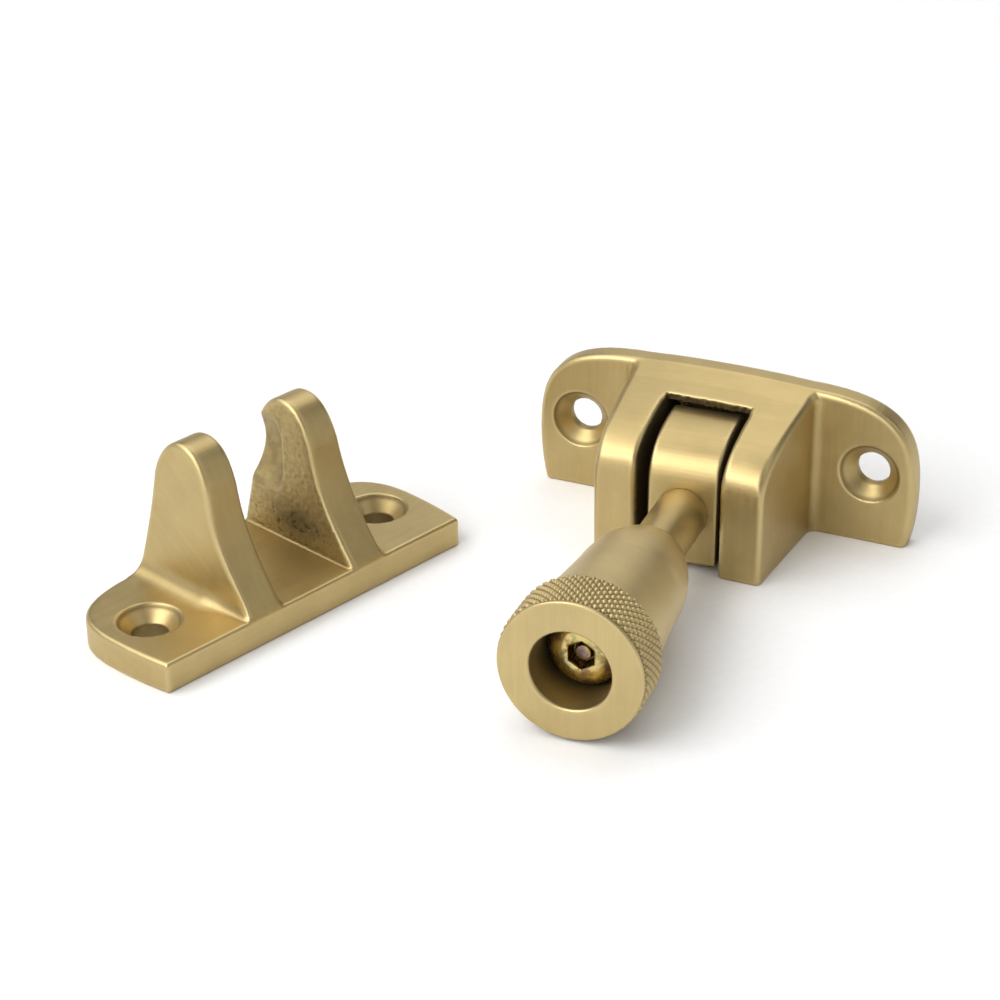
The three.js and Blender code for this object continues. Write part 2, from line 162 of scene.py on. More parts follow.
# ---- mesh settings -----------------------------------------------------------------------------
CELL = 0.25
OPEN = 4.0
FIELD_PROBE = 0.06
EDGE_PROBE = 0.45
RELAX_ROUNDS = 3
EDGE_SMOOTHING = 3

# ---- roundings of the castings' edges, in millimetres ------------------------------------------
FOOT_ROUNDING = 0.3
HOLE_ROUNDING = 0.15
PLATE_FRONT_ROUNDING = 0.9
PLATE_BACK_ROUNDING = 0.3
BLOCK_ROUNDING = 1.1
SLOT_ROUNDING = 0.8
LIP_ROUNDING_LOSS = 0.45
PIN_HOLE_ROUNDING = 0.12
KNUCKLE_ROUNDING = 0.6
KNUCKLE_HOLE_ROUNDING = 0.25
TENON_HOLE_ROUNDING = 0.2
KEEP_TOP_ROUNDING = 0.7
KEEP_FRONT_ROUNDING = 0.35
HORN_ROUNDING = 0.85
HORN_BACK_ROUNDING = 0.5
SEAT_EDGE_ROUNDING = 0.5


# ---- distance fields ---------------------------------------------------------------------------
def polygon_field(points, u, v):
    """Signed distance to a closed polygon, negative inside."""
    shape = np.broadcast(u, v).shape
    nearest = np.full(shape, np.inf)
    inside = np.zeros(shape, bool)
    for (a0, a1), (b0, b1) in zip(points, points[1:] + points[:1]):
        e0, e1 = b0 - a0, b1 - a1
        length2 = e0 * e0 + e1 * e1
        if length2 == 0:
            continue
        w0, w1 = u - a0, v - a1
        t = np.clip((w0 * e0 + w1 * e1) / length2, 0, 1)
        nearest = np.minimum(nearest, (w0 - e0 * t) ** 2 + (w1 - e1 * t) ** 2)
        if e1 != 0:
            spans = (a1 <= v) != (b1 <= v)
            inside ^= spans & (u < a0 + w1 * (e0 / e1))
    return np.sqrt(nearest) * np.where(inside, -1.0, 1.0)


def both(a, b, radius):
    """Where two solids overlap, with their common edge rounded."""
    corner = np.hypot(np.maximum(a + radius, 0), np.maximum(b + radius, 0))
    return np.minimum(np.maximum(a, b), -radius) + corner


def band(value, low, high):
    """0 below low, 1 above high, with a smooth step between."""
    t = np.clip((value - low) / (high - low), 0, 1)
    return t * t * (3 - 2 * t)


def bezier(*points, steps=14):
    """Points along a Bezier curve, without its first."""
    degree = len(points) - 1
    curve = []
    for i in range(1, steps + 1):
        t = i / steps
        weights = [math.comb(degree, k) * t ** k * (1 - t) ** (degree - k) for k in range(degree + 1)]
        curve.append(tuple(sum(w * p[axis] for w, p in zip(weights, points)) for axis in (0, 1)))
    return curve


def mirrored(half):
    """A closed outline from its right half, listed from foot to top."""
    return half + [(-a, b) for a, b in reversed(half)]


def plate_outline(half_length, depth, side_top, corner_rise, corner_reach):
    foot = half_length - FOOT_INSET
    crown_edge = depth - CROWN_DROP
    half = [(foot, -OPEN), (foot, 0.0)]
    half += bezier((foot, 0.0), (half_length, side_top / 2), (half_length, side_top), steps=6)
    half += bezier(
        (half_length, side_top), (half_length, corner_rise),
        (half_length - corner_reach, crown_edge), (CROWN_START, crown_edge), steps=24,
    )
    half += bezier((CROWN_START, crown_edge), (CROWN_START / 2, depth), (0.0, depth), steps=8)
    return mirrored(half)


COUNTERSINK = [
    (-1.0, -OPEN),
    (RIM_RADIUS, -OPEN),
    (RIM_RADIUS, RIM_DEPTH * 0.6),
    (CONE_TOP_RADIUS, RIM_DEPTH),
    (HOLE_RADIUS, RIM_DEPTH + CONE_DEPTH),
    (HOLE_RADIUS, 3 * OPEN),
    (-1.0, 3 * OPEN),
]
BODY_OUTLINE = plate_outline(PLATE_HALF_LENGTH, PLATE_HEIGHT, *PLATE_CORNER)
KEEP_OUTLINE = plate_outline(KEEP_HALF_LENGTH, KEEP_DEPTH, *KEEP_CORNER)
BLOCK_SHOULDER_Y = -PLATE_FACE - BLOCK_SHOULDER_START
BLOCK_SIDE = [
    (BLOCK_FRONT_Y, -OPEN), (0.0, -OPEN), (0.0, PLATE_HEIGHT), (-BLOCK_CROWN_DEPTH, PLATE_HEIGHT),
    (BLOCK_SHOULDER_Y, BLOCK_HEIGHT),
] + bezier(
    (BLOCK_SHOULDER_Y, BLOCK_HEIGHT),
    (BLOCK_SHOULDER_Y - BLOCK_SHOULDER_REACH, BLOCK_HEIGHT - BLOCK_SHOULDER_SLOPE),
    (BLOCK_FRONT_Y, BLOCK_HEIGHT - BLOCK_SHOULDER_DROP),
    (BLOCK_FRONT_Y, CHEEK_FRONT_HEIGHT), steps=24,
)
CHEEK_CORNER = 0.7
BLOCK_PLAN = mirrored(
    [(0.0, BLOCK_FRONT_Y), (BLOCK_FRONT_HALF_WIDTH - CHEEK_CORNER, BLOCK_FRONT_Y)]
    + bezier(
        (BLOCK_FRONT_HALF_WIDTH - CHEEK_CORNER, BLOCK_FRONT_Y),
        (BLOCK_FRONT_HALF_WIDTH, BLOCK_FRONT_Y),
        (BLOCK_FRONT_HALF_WIDTH + 0.04, BLOCK_FRONT_Y + CHEEK_CORNER), steps=5,
    )
    + [(BLOCK_BACK_HALF_WIDTH, -PLATE_FACE - BLOCK_FILLET)]
    + bezier(
        (BLOCK_BACK_HALF_WIDTH, -PLATE_FACE - BLOCK_FILLET), (BLOCK_BACK_HALF_WIDTH, -PLATE_FACE),
        (BLOCK_BACK_HALF_WIDTH + BLOCK_FILLET, -PLATE_FACE), steps=8,
    )
    + [(BLOCK_BACK_HALF_WIDTH + BLOCK_FILLET, 0.0), (0.0, 0.0)]
)
SLOT_SIDE = [
    (BLOCK_FRONT_Y - OPEN, -OPEN),
    (SLOT_BACK_Y, -OPEN),
    (SLOT_BACK_Y, LIP_UNDERSIDE),
    (LIP_Y, LIP_UNDERSIDE),
    (LIP_Y, PLATE_HEIGHT + OPEN),
    (BLOCK_FRONT_Y - OPEN, PLATE_HEIGHT + OPEN),
]
HEEL_FOOT_Y = math.sqrt(HEEL_RADIUS ** 2 - KNUCKLE_BOTTOM ** 2)
HEEL_TOP_Z = math.sqrt(HEEL_RADIUS ** 2 - KNUCKLE_BACK_TOP ** 2)
HEEL_START = math.atan2(-KNUCKLE_BOTTOM, HEEL_FOOT_Y)
HEEL_END = math.atan2(HEEL_TOP_Z, KNUCKLE_BACK_TOP)
HEEL_ANGLES = np.linspace(HEEL_START, HEEL_END, 28)
KNUCKLE_SIDE = (
    [(-KNUCKLE_FRONT, -KNUCKLE_BOTTOM)]
    + [(HEEL_RADIUS * math.cos(a), HEEL_RADIUS * math.sin(a)) for a in HEEL_ANGLES]
    + [(KNUCKLE_BACK_TOP, KNUCKLE_TOP)]
    + bezier(
        (KNUCKLE_BACK_TOP, KNUCKLE_TOP), (KNUCKLE_BACK_TOP - KNUCKLE_SHOULDER_REACH, KNUCKLE_TOP),
        (-KNUCKLE_FRONT, KNUCKLE_TOP - KNUCKLE_SHOULDER_DROP),
        (-KNUCKLE_FRONT, KNUCKLE_SHOULDER_FOOT), steps=20,
    )
)
HORN_SIDE = (
    [(-OPEN, -OPEN), (KEEP_DEPTH, -OPEN), (KEEP_DEPTH, KEEP_THICKNESS)]
    + bezier((KEEP_DEPTH, KEEP_THICKNESS), HORN_BACK_BEND, HORN_BACK_SHOULDER, steps=10)
    + bezier(
        HORN_BACK_SHOULDER, HORN_BACK_RISE,
        (HORN_CREST_Y + HORN_CREST_HANDLE, HORN_HEIGHT), (HORN_CREST_Y, HORN_HEIGHT),
    )
    + bezier(
        (HORN_CREST_Y, HORN_HEIGHT), (HORN_CREST_Y - HORN_CREST_HANDLE, HORN_HEIGHT),
        HORN_FRONT_RISE, HORN_FRONT_SHOULDER,
    )
    + bezier(HORN_FRONT_SHOULDER, HORN_FRONT_BENDS[1], HORN_FRONT_BENDS[0], (0.0, KEEP_THICKNESS))
    + [(-OPEN, KEEP_THICKNESS - 1.2 * OPEN)]
)
HORN_INNER_FILLET = 0.5
KEEP_TRIM = 0.06
FILLET_START = 12.0
FILLET_SQUEEZE = 2.0
FILLET_FADE = 9.0
HORN_FRONT = (
    [(HORN_INNER_X - HORN_INNER_FILLET, 1.0), (HORN_BASE_OUTER_X + HORN_FILLET, 1.0)]
    + [(HORN_BASE_OUTER_X + HORN_FILLET, KEEP_THICKNESS)]
    + bezier(
        (HORN_BASE_OUTER_X + HORN_FILLET, KEEP_THICKNESS), (HORN_BASE_OUTER_X, KEEP_THICKNESS),
        (HORN_BASE_OUTER_X, KEEP_THICKNESS + HORN_FILLET), steps=10,
    )
    + [(HORN_TOP_OUTER_X, HORN_HEIGHT), (HORN_TOP_OUTER_X, HORN_HEIGHT + OPEN)]
    + [(HORN_INNER_X, HORN_HEIGHT + OPEN)]
    + [(HORN_INNER_X, KEEP_THICKNESS + HORN_INNER_FILLET)]
    + bezier(
        (HORN_INNER_X, KEEP_THICKNESS + HORN_INNER_FILLET), (HORN_INNER_X, KEEP_THICKNESS),
        (HORN_INNER_X - HORN_INNER_FILLET, KEEP_THICKNESS), steps=4,
    )
)


def ear_hole_place(x, y, z):
    """Distance from the axis of the nearer ear's hole, and depth below the face."""
    return np.hypot(np.abs(x) - EAR_HOLE_X, z - EAR_HOLE_Z), y + PLATE_FACE


def keep_hole_place(x, y, z):
    return np.hypot(np.abs(x) - KEEP_HOLE_X, y - KEEP_HOLE_Y), KEEP_THICKNESS - z


def body_field(x, y, z):
    plate = both(polygon_field(BODY_OUTLINE, x, z), -y - PLATE_FACE, PLATE_FRONT_ROUNDING)
    plate = both(plate, y - PLATE_FACE, PLATE_BACK_ROUNDING)
    crown = CROWN_DROP * (x / CROWN_START) ** 2
    block = both(
        polygon_field(BLOCK_SIDE, y, z + crown), polygon_field(BLOCK_PLAN, x, y), BLOCK_ROUNDING
    )
    body = np.minimum(plate, block)
    slot = np.maximum(np.abs(x) - SLOT_HALF_WIDTH, polygon_field(SLOT_SIDE, y, z))
    slot_rounding = SLOT_ROUNDING - LIP_ROUNDING_LOSS * band(y, LIP_Y - 1.6, LIP_Y - 0.4)
    body = both(body, -slot, slot_rounding)
    hole = polygon_field(COUNTERSINK, *ear_hole_place(x, y, z))
    body = both(body, -hole, HOLE_ROUNDING)
    pin_hole = np.maximum(np.hypot(y - PIVOT[1], z - PIVOT[2]) - PIN_HOLE_RADIUS, x - PIN_HOLE_END)
    body = both(body, -pin_hole, PIN_HOLE_ROUNDING)
    return both(body, -z, FOOT_ROUNDING)


def knuckle_field(x, y, z):
    side = polygon_field(KNUCKLE_SIDE, y, z)
    knuckle = both(side, np.abs(x) - KNUCKLE_HALF_WIDTH, KNUCKLE_ROUNDING)
    pin_hole = np.hypot(y, z) - KNUCKLE_PIN_HOLE_RADIUS
    tenon_hole = np.maximum(np.hypot(x, z) - TENON_RADIUS - GAP, y + TENON_START - GAP)
    knuckle = both(knuckle, -pin_hole, KNUCKLE_HOLE_ROUNDING)
    return both(knuckle, -tenon_hole, TENON_HOLE_ROUNDING)


def keep_field(x, y, z):
    outline = polygon_field(KEEP_OUTLINE, x, y) + KEEP_TRIM
    plate = both(both(outline, z - KEEP_THICKNESS, KEEP_TOP_ROUNDING), -z, FOOT_ROUNDING)
    # The horns' outer fillets run out to nothing at the plate's front edge.
    squeeze = 1 + FILLET_SQUEEZE * (1 - band(y, 0.0, FILLET_FADE))
    across = np.minimum(np.abs(x), FILLET_START) + np.maximum(np.abs(x) - FILLET_START, 0) * squeeze
    horns = both(polygon_field(HORN_SIDE, y, z), polygon_field(HORN_FRONT, across, z), HORN_ROUNDING)
    keep = both(
        np.minimum(plate, both(horns, outline, HORN_BACK_ROUNDING)), -y, KEEP_FRONT_ROUNDING
    )
    seat = both(np.hypot(x, z - SEAT_HEIGHT) - SEAT_RADIUS, SEAT_FLOOR_Y - y, SEAT_CORNER)
    keep = both(keep, -seat, SEAT_EDGE_ROUNDING)
    return both(keep, -polygon_field(COUNTERSINK, *keep_hole_place(x, y, z)), HOLE_ROUNDING)


# ---- noise -------------------------------------------------------------------------------------
LATTICE = np.random.default_rng(11).random((64, 64, 64))


def noise(points, scale, octaves=3):
    """Smooth value noise from 0 to 1 at each point."""
    total, weight = np.zeros(len(points)), 0.0
    for octave in range(octaves):
        p = points * (scale * 2 ** octave) + 17.3 * octave
        cell = np.floor(p).astype(int)
        t = p - cell
        t = t * t * (3 - 2 * t)
        value = np.zeros(len(points))
        for corner in np.ndindex(2, 2, 2):
            share = np.prod(np.where(np.array(corner) == 1, t, 1 - t), axis=1)
            i, j, k = ((cell + corner) % 64).T
            value += share * LATTICE[i, j, k]
        total += value * 0.5 ** octave
        weight += 0.5 ** octave
    return total / weight


# ---- meshes ------------------------------------------------------------------------------------
def gradient(field, points):
    parts = []
    for axis in range(3):
        step = np.zeros(3)
        step[axis] = FIELD_PROBE
        parts.append(field(*(points + step).T) - field(*(points - step).T))
    return np.stack(parts, 1) / (2 * FIELD_PROBE)


def onto_surface(field, points, passes):
    for _ in range(passes):
        g = gradient(field, points)
        size = np.maximum((g * g).sum(1), 0.2)
        points = points - g * np.clip(field(*points.T) / size, -CELL, CELL)[:, None]
    return points


def convexity(field, points):
    """How sharply the surface bulges at each point: positive on edges, negative in corners."""
    total = np.zeros(len(points))
    for axis in range(3):
        for sign in (-1, 1):
            step = np.zeros(3)
            step[axis] = sign * EDGE_PROBE
            total += field(*(points + step).T)
    return total / EDGE_PROBE ** 2


def quad_edges(quads):
    """Where each edge of each quad starts and ends, as point numbers."""
    return quads.ravel(), np.roll(quads, -1, axis=1).ravel()


def neighbour_count(starts, ends, length):
    return np.bincount(starts, minlength=length) + np.bincount(ends, minlength=length)


def field_mesh(field, low, high):
    """Points and quads of a field's surface between two corners, in millimetres."""
    axes = [np.arange(a - 2 * CELL, b + 3 * CELL, CELL) for a, b in zip(low, high)]
    x, y, z = axes[0][:, None, None], axes[1][None, :, None], axes[2][None, None, :]
    grid = openvdb.FloatGrid(CELL * 3)
    grid.copyFromArray(np.ascontiguousarray(field(x, y, z).astype(np.float32)))
    points, quads = grid.convertToQuads(isovalue=0.0)
    points = np.asarray(points, float) * CELL + [axis[0] for axis in axes]
    quads = np.asarray(quads, int)
    points = onto_surface(field, points, 2)
    starts, ends = quad_edges(quads)
    count = np.maximum(neighbour_count(starts, ends, len(points)), 1)
    for _ in range(RELAX_ROUNDS):
        total = np.zeros_like(points)
        np.add.at(total, starts, points[ends])
        np.add.at(total, ends, points[starts])
        points = onto_surface(field, points * 0.5 + total / count[:, None] * 0.5, 1)
    a, b, c, d = (points[quads[:, k]] for k in range(4))
    if (a * np.cross(b, c) + a * np.cross(c, d)).sum() < 0:
        quads = quads[:, ::-1]
    return points, quads


def smoothed(values, quads, rounds):
    """Vertex values averaged with their neighbours."""
    starts, ends = quad_edges(quads)
    length = len(values)
    count = np.maximum(neighbour_count(starts, ends, length), 1)
    for _ in range(rounds):
        total = np.bincount(starts, values[ends], length) + np.bincount(ends, values[starts], length)
        values = values * 0.4 + total / count * 0.6
    return values


def make_object(name, points, faces, place, material, attributes=None):
    """A piece whose points are already where they belong, so that its own place is the identity."""
    turn = np.array(place)
    placed = (points * MM) @ turn[:3, :3].T + turn[:3, 3]
    placed[:, 2] = np.maximum(placed[:, 2], 0)
    mesh = bpy.data.meshes.new(name)
    mesh.from_pydata(placed.tolist(), [], [list(map(int, f)) for f in faces])
    mesh.validate()
    for key, values in (attributes or {}).items():
        kind, field = ("FLOAT_VECTOR", "vector") if np.ndim(values) == 2 else ("FLOAT", "value")
        layer = mesh.attributes.new(key, kind, "POINT")
        layer.data.foreach_set(field, np.ravel(values).astype(np.float32))
    mesh.shade_smooth()
    mesh.materials.append(material)
    obj = bpy.data.objects.new(name, mesh)
    bpy.context.scene.collection.objects.link(obj)
    return obj


def grain(points, direction, stretch=0.035):
    """Coordinates that change slowly along the brushing direction and quickly across it."""
    along = (points * direction).sum(1, keepdims=True)
    return points - direction * along * (1 - stretch)


def unit(v):
    v = np.asarray(v, float)
    return v / np.maximum(np.linalg.norm(v, axis=-1, keepdims=True), 1e-9)


# ---- materials ---------------------------------------------------------------------------------
BRASS = (0.53, 0.41, 0.19)
BRASS_DARK = (0.2, 0.135, 0.052)
# Painted highlight colour for convex edges, partly real polish.
BRASS_POLISH_AND_SHEEN = (0.72, 0.6, 0.34)
BRASS_TURNED = (0.585, 0.458, 0.22)
# Darkening colour for real stains and for painted shade in hollows, bores and between parts.
DIRT_AND_SHADE_TONE = (0.045, 0.03, 0.014)
STREAK_TONES = (0.97, 1.03)


class Shader:
    """Builds one node material."""

    def __init__(self, name):
        self.material = bpy.data.materials.new(name)
        self.material.use_nodes = True
        self.tree = self.material.node_tree
        self.bsdf = self.tree.nodes["Principled BSDF"]

    def node(self, kind, inputs=None, **settings):
        made = self.tree.nodes.new(kind)
        for key, value in settings.items():
            setattr(made, key, value)
        for key, value in (inputs or {}).items():
            self.feed(made.inputs[key], value)
        return made

    def feed(self, socket, value):
        if isinstance(value, bpy.types.NodeSocket):
            self.tree.links.new(value, socket)
        else:
            socket.default_value = value

    def attribute(self, name):
        return self.node("ShaderNodeAttribute", attribute_name=name)

    def noise(self, vector, scale, detail=3.0, rough=0.6):
        inputs = {"Vector": vector, "Scale": scale, "Detail": detail, "Roughness": rough}
        made = self.node("ShaderNodeTexNoise", inputs)
        return made.outputs["Fac"]

    def spread(self, value, low, high, out_low=0.0, out_high=1.0):
        made = self.node("ShaderNodeMapRange", {
            "Value": value, "From Min": low, "From Max": high, "To Min": out_low, "To Max": out_high,
        })
        return made.outputs["Result"]

    def math(self, operation, a, b=0.0):
        return self.node("ShaderNodeMath", {0: a, 1: b}, operation=operation).outputs[0]

    def mix(self, factor, a, b):
        made = self.node("ShaderNodeMix", data_type="RGBA")
        self.feed(made.inputs["Factor"], factor)
        for index, value in ((6, a), (7, b)):
            linked = isinstance(value, bpy.types.NodeSocket)
            self.feed(made.inputs[index], value if linked else (*value, 1.0))
        return made.outputs[2]

    def bump(self, height, distance, normal=None):
        inputs = {"Height": height, "Distance": distance, "Strength": 1.0}
        if normal is not None:
            inputs["Normal"] = normal
        return self.node("ShaderNodeBump", inputs).outputs["Normal"]


def brass_material(name, base, roughness, grit):
    """Brushed brass: streaks follow the grain attribute; convex edges get a painted highlight, partly
    real polish, and concave corners get painted shade.
    """
    s = Shader(name)
    across = s.attribute("grain").outputs["Vector"]
    place = s.node("ShaderNodeTexCoord").outputs["Object"]
    edge = s.attribute("edge").outputs["Fac"]
    cast = s.attribute("cast").outputs["Fac"]
    dirt_and_shade = s.attribute("dirt_and_shade").outputs["Fac"]
    fine = s.noise(across, 5.2, 4.0, 0.7)
    broad = s.noise(across, 1.3, 3.0, 0.55)
    cloud = s.noise(place, 160.0, 4.0, 0.6)
    speck = s.noise(place, 1500.0, 3.0, 0.65)
    darker, lighter = (tuple(channel * tone for channel in base) for tone in STREAK_TONES)
    colour = s.mix(s.spread(broad, 0.3, 0.72), darker, lighter)
    colour = s.mix(s.spread(fine, 0.3, 0.7, 0.12, 0.0), colour, BRASS_DARK)
    colour = s.mix(s.math("MULTIPLY", s.spread(cloud, 0.35, 0.7), 0.16), colour, BRASS_DARK)
    # Painted highlight on convex edges, partly real polish; painted shade in concave corners.
    colour = s.mix(s.spread(edge, 0.2, 1.3, 0.0, 0.16), colour, BRASS_POLISH_AND_SHEEN)
    colour = s.mix(s.spread(edge, -0.2, -1.2, 0.0, 0.4), colour, BRASS_DARK)
    specks = s.math("MULTIPLY", cast, s.spread(speck, 0.38, 0.66, 0.0, 0.38))
    colour = s.mix(specks, colour, BRASS_DARK)
    # Real stains, and painted shade in slots, bores, sockets, knurl grooves and between parts.
    colour = s.mix(dirt_and_shade, colour, DIRT_AND_SHADE_TONE)
    s.feed(s.bsdf.inputs["Base Color"], colour)
    rough = s.spread(fine, 0.25, 0.75, roughness - 0.05, roughness + 0.08)
    rough = s.math("ADD", rough, s.math("MULTIPLY", cast, 0.12))
    rough = s.math("SUBTRACT", rough, s.spread(edge, 0.2, 1.3, 0.0, 0.04))
    rough = s.math("ADD", rough, s.math("MULTIPLY", dirt_and_shade, 0.3))
    s.feed(s.bsdf.inputs["Roughness"], rough)
    s.bsdf.inputs["Metallic"].default_value = 1.0
    normal = s.bump(fine, 0.0055 * MM)
    normal = s.bump(broad, 0.003 * MM, normal)
    normal = s.bump(cloud, 0.012 * MM * grit, normal)
    normal = s.bump(s.math("MULTIPLY", speck, cast), 0.05 * MM, normal)
    s.feed(s.bsdf.inputs["Normal"], normal)
    return s.material


ZINC_TINTS = (
    (0.3, (0.34, 0.24, 0.24)),
    (0.42, (0.62, 0.45, 0.17)),
    (0.55, (0.66, 0.52, 0.2)),
    (0.64, (0.4, 0.4, 0.2)),
    (0.72, (0.6, 0.4, 0.15)),
)
ZINC_STAIN = (0.16, 0.1, 0.035)
SOCKET_SHADE = (0.02, 0.014, 0.008)


def screw_material():
    """Yellow passivated zinc: patchy gold with faint pink, brown and green tints."""
    s = Shader("yellow_zinc")
    place = s.node("ShaderNodeTexCoord").outputs["Object"]
    patch = s.noise(place, 700.0, 4.0, 0.6)
    tint = s.noise(place, 430.0, 2.0, 0.5)
    fine = s.noise(place, 3000.0, 3.0, 0.6)
    ramp = s.node("ShaderNodeValToRGB", {"Fac": tint})
    stops = ramp.color_ramp.elements
    stops.remove(stops[1])
    stops[0].position = ZINC_TINTS[0][0]
    for position, _ in ZINC_TINTS[1:]:
        stops.new(position)
    for stop, (_, tone) in zip(stops, ZINC_TINTS):
        stop.color = (*tone, 1)
    colour = s.mix(s.spread(patch, 0.46, 0.62, 0.0, 0.7), ramp.outputs["Color"], ZINC_STAIN)
    # Painted shade in the socket, from a vertex attribute.
    colour = s.mix(s.attribute("dirt_and_shade").outputs["Fac"], colour, SOCKET_SHADE)
    s.feed(s.bsdf.inputs["Base Color"], colour)
    s.feed(s.bsdf.inputs["Roughness"], s.spread(patch, 0.3, 0.7, 0.16, 0.36))
    s.bsdf.inputs["Metallic"].default_value = 1.0
    normal = s.bump(patch, 0.03 * MM)
    s.feed(s.bsdf.inputs["Normal"], s.bump(fine, 0.006 * MM, normal))
    return s.material


STEEL_TONES = ((0.36, 0.35, 0.33), (0.52, 0.51, 0.49))


def steel_material():
    s = Shader("ground_steel")
    place = s.node("ShaderNodeTexCoord").outputs["Object"]
    ring = s.noise(place, 2600.0, 3.0, 0.6)
    s.feed(s.bsdf.inputs["Base Color"], s.mix(s.spread(ring, 0.3, 0.7), *STEEL_TONES))
    s.feed(s.bsdf.inputs["Roughness"], s.spread(ring, 0.3, 0.7, 0.28, 0.42))
    s.bsdf.inputs["Metallic"].default_value = 1.0
    s.feed(s.bsdf.inputs["Normal"], s.bump(ring, 0.01 * MM))
    return s.material


CAST_BRASS = brass_material("satin_brass", BRASS, roughness=0.42, grit=1.0)
TURNED_BRASS = brass_material("turned_brass", BRASS_TURNED, roughness=0.4, grit=0.5)
YELLOW_ZINC = screw_material()
STEEL = steel_material()

# ---- places ------------------------------------------------------------------------------------
joints = {j["name"]: j for j in frame["record"]["behaviour"]["joints"]}
ARM_AXIS = Vector(joints["nut_travel"]["axis"]).normalized()
ARM_LIFT = math.asin(ARM_AXIS.z)
ARM_TURN = math.atan2(ARM_AXIS.x, -ARM_AXIS.y)
ARM_PLACE = (
    Matrix.Translation(Vector(joints["arm_swing"]["pos_m"]))
    @ Matrix.Rotation(ARM_TURN, 4, "Z")
    @ Matrix.Rotation(-ARM_LIFT, 4, "X")
)
KEEP_TURNED = Matrix.Rotation(KEEP_TURN * DEGREE, 4, "Z")
KEEP_MATRIX = Matrix.Translation(Vector((*KEEP_PLACE, 0)) * MM) @ KEEP_TURNED
BODY_MATRIX = Matrix.Identity(4)


def finish_piece(obj, body, node):
    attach(obj, body)
    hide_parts(node)


# ---- castings ----------------------------------------------------------------------------------
ALONG_X = np.array([1.0, 0.0, 0.0])
UPRIGHT = np.array([0.0, 0.0, 1.0])
HORN_FLANK_BRUSHING = unit((0, 0.83, 0.55))
HORN_FRONT_BRUSHING = unit((0, 0.35, 1.0))
# Middle and reach, along y and z, of the dark stain low on each horn's inner face.
HORN_STAIN = ((11.5, 5.2), (8.0, 3.2))


def hole_shade(radius, depth):
    """Painted shade where a countersink's rim wall meets its cone, and down its bore."""
    ring = np.exp(-((radius - CONE_TOP_RADIUS - 0.1) / 0.22) ** 2) * band(depth, 0.08, 0.25)
    bore_top = RIM_DEPTH + CONE_DEPTH
    bore = (radius < HOLE_RADIUS + 0.15) * band(depth, bore_top - 0.2, bore_top + 0.2)
    return ring * 0.5 + bore * 0.3


def casting_mesh(field, low, high):
    """A field's mesh, with the normal and the convexity at each point; the convexity paints
    highlights on edges and shade in corners.
    """
    points, quads = field_mesh(field, low, high)
    edge = smoothed(convexity(field, points), quads, EDGE_SMOOTHING)
    return points, quads, unit(gradient(field, points)), edge


def body_piece():
    low = (-PLATE_HALF_LENGTH, BLOCK_FRONT_Y, 0)
    high = (PLATE_HALF_LENGTH, PLATE_FACE, PLATE_HEIGHT)
    points, quads, normal, edge = casting_mesh(body_field, low, high)
    x, y, z = points.T
    holes = hole_shade(*ear_hole_place(x, y, z))
    # The slot was left as cast, and the underside of its lip is ragged.
    within = (np.abs(x) < SLOT_HALF_WIDTH + 0.4)
    within = within * (y > BLOCK_FRONT_Y + 0.5) * (y < SLOT_BACK_Y + 0.4)
    facing_up = band(normal[:, 2], 0.2, 0.6)
    walls = within * (np.abs(x) > SLOT_HALF_WIDTH - 0.5) * band(np.abs(normal[:, 0]), 0.55, 0.9)
    lip = within * (y > LIP_Y - 0.6) * (z > LIP_UNDERSIDE - 1) * (1 - facing_up) * (1 - walls)
    ragged = noise(points * [1, 0.6, 0.6], 2.2, 3)
    shift = -lip * 0.3 * band(ragged, 0.42, 0.66)
    shift = shift + walls * (noise(points, 1.5, 3) - 0.6) * 0.1
    points = points + normal * shift[:, None]
    cast = np.clip(walls + lip, 0, 1)
    # Painted shade on the slot's walls behind its mouth and under its lip, and in the ear holes.
    dirt_and_shade = walls * band(-y, 20.4, 18.6) * 0.9 + lip * 0.8
    dirt_and_shade = np.clip(dirt_and_shade + holes, 0, 1)
    top = (normal[:, 2] > 0.25) | ((np.abs(normal[:, 1]) < 0.5) & (np.abs(normal[:, 0]) < 0.6))
    direction = np.where(top[:, None], ALONG_X, UPRIGHT)
    return make_object("body", points, quads, BODY_MATRIX, CAST_BRASS, {
        "grain": grain(points, direction), "edge": edge, "cast": cast, "dirt_and_shade": dirt_and_shade,
    })


def knuckle_piece():
    low = (-KNUCKLE_HALF_WIDTH, -KNUCKLE_FRONT, -KNUCKLE_BOTTOM)
    high = (KNUCKLE_HALF_WIDTH, HEEL_RADIUS, KNUCKLE_TOP)
    points, quads, normal, edge = casting_mesh(knuckle_field, low, high)
    y, z = points[:, 1], points[:, 2]
    # Painted shade on the heel and on the sides behind the front, which sit inside the body's slot.
    heel = band(y, 2.0, 6.0) * 0.5
    behind_front = band(y, -KNUCKLE_FRONT + 0.3, -KNUCKLE_FRONT + 2.0)
    sides = band(np.abs(normal[:, 0]), 0.75, 0.95) * behind_front * 0.6
    upper = (z > KNUCKLE_SHOULDER_FOOT) & (np.abs(normal[:, 0]) < 0.7)
    direction = np.where(upper[:, None], ALONG_X, UPRIGHT)
    return make_object("knuckle_block", points, quads, ARM_PLACE, CAST_BRASS, {
        "grain": grain(points, direction), "edge": edge, "cast": np.zeros(len(points)),
        "dirt_and_shade": np.maximum(heel, sides),
    })


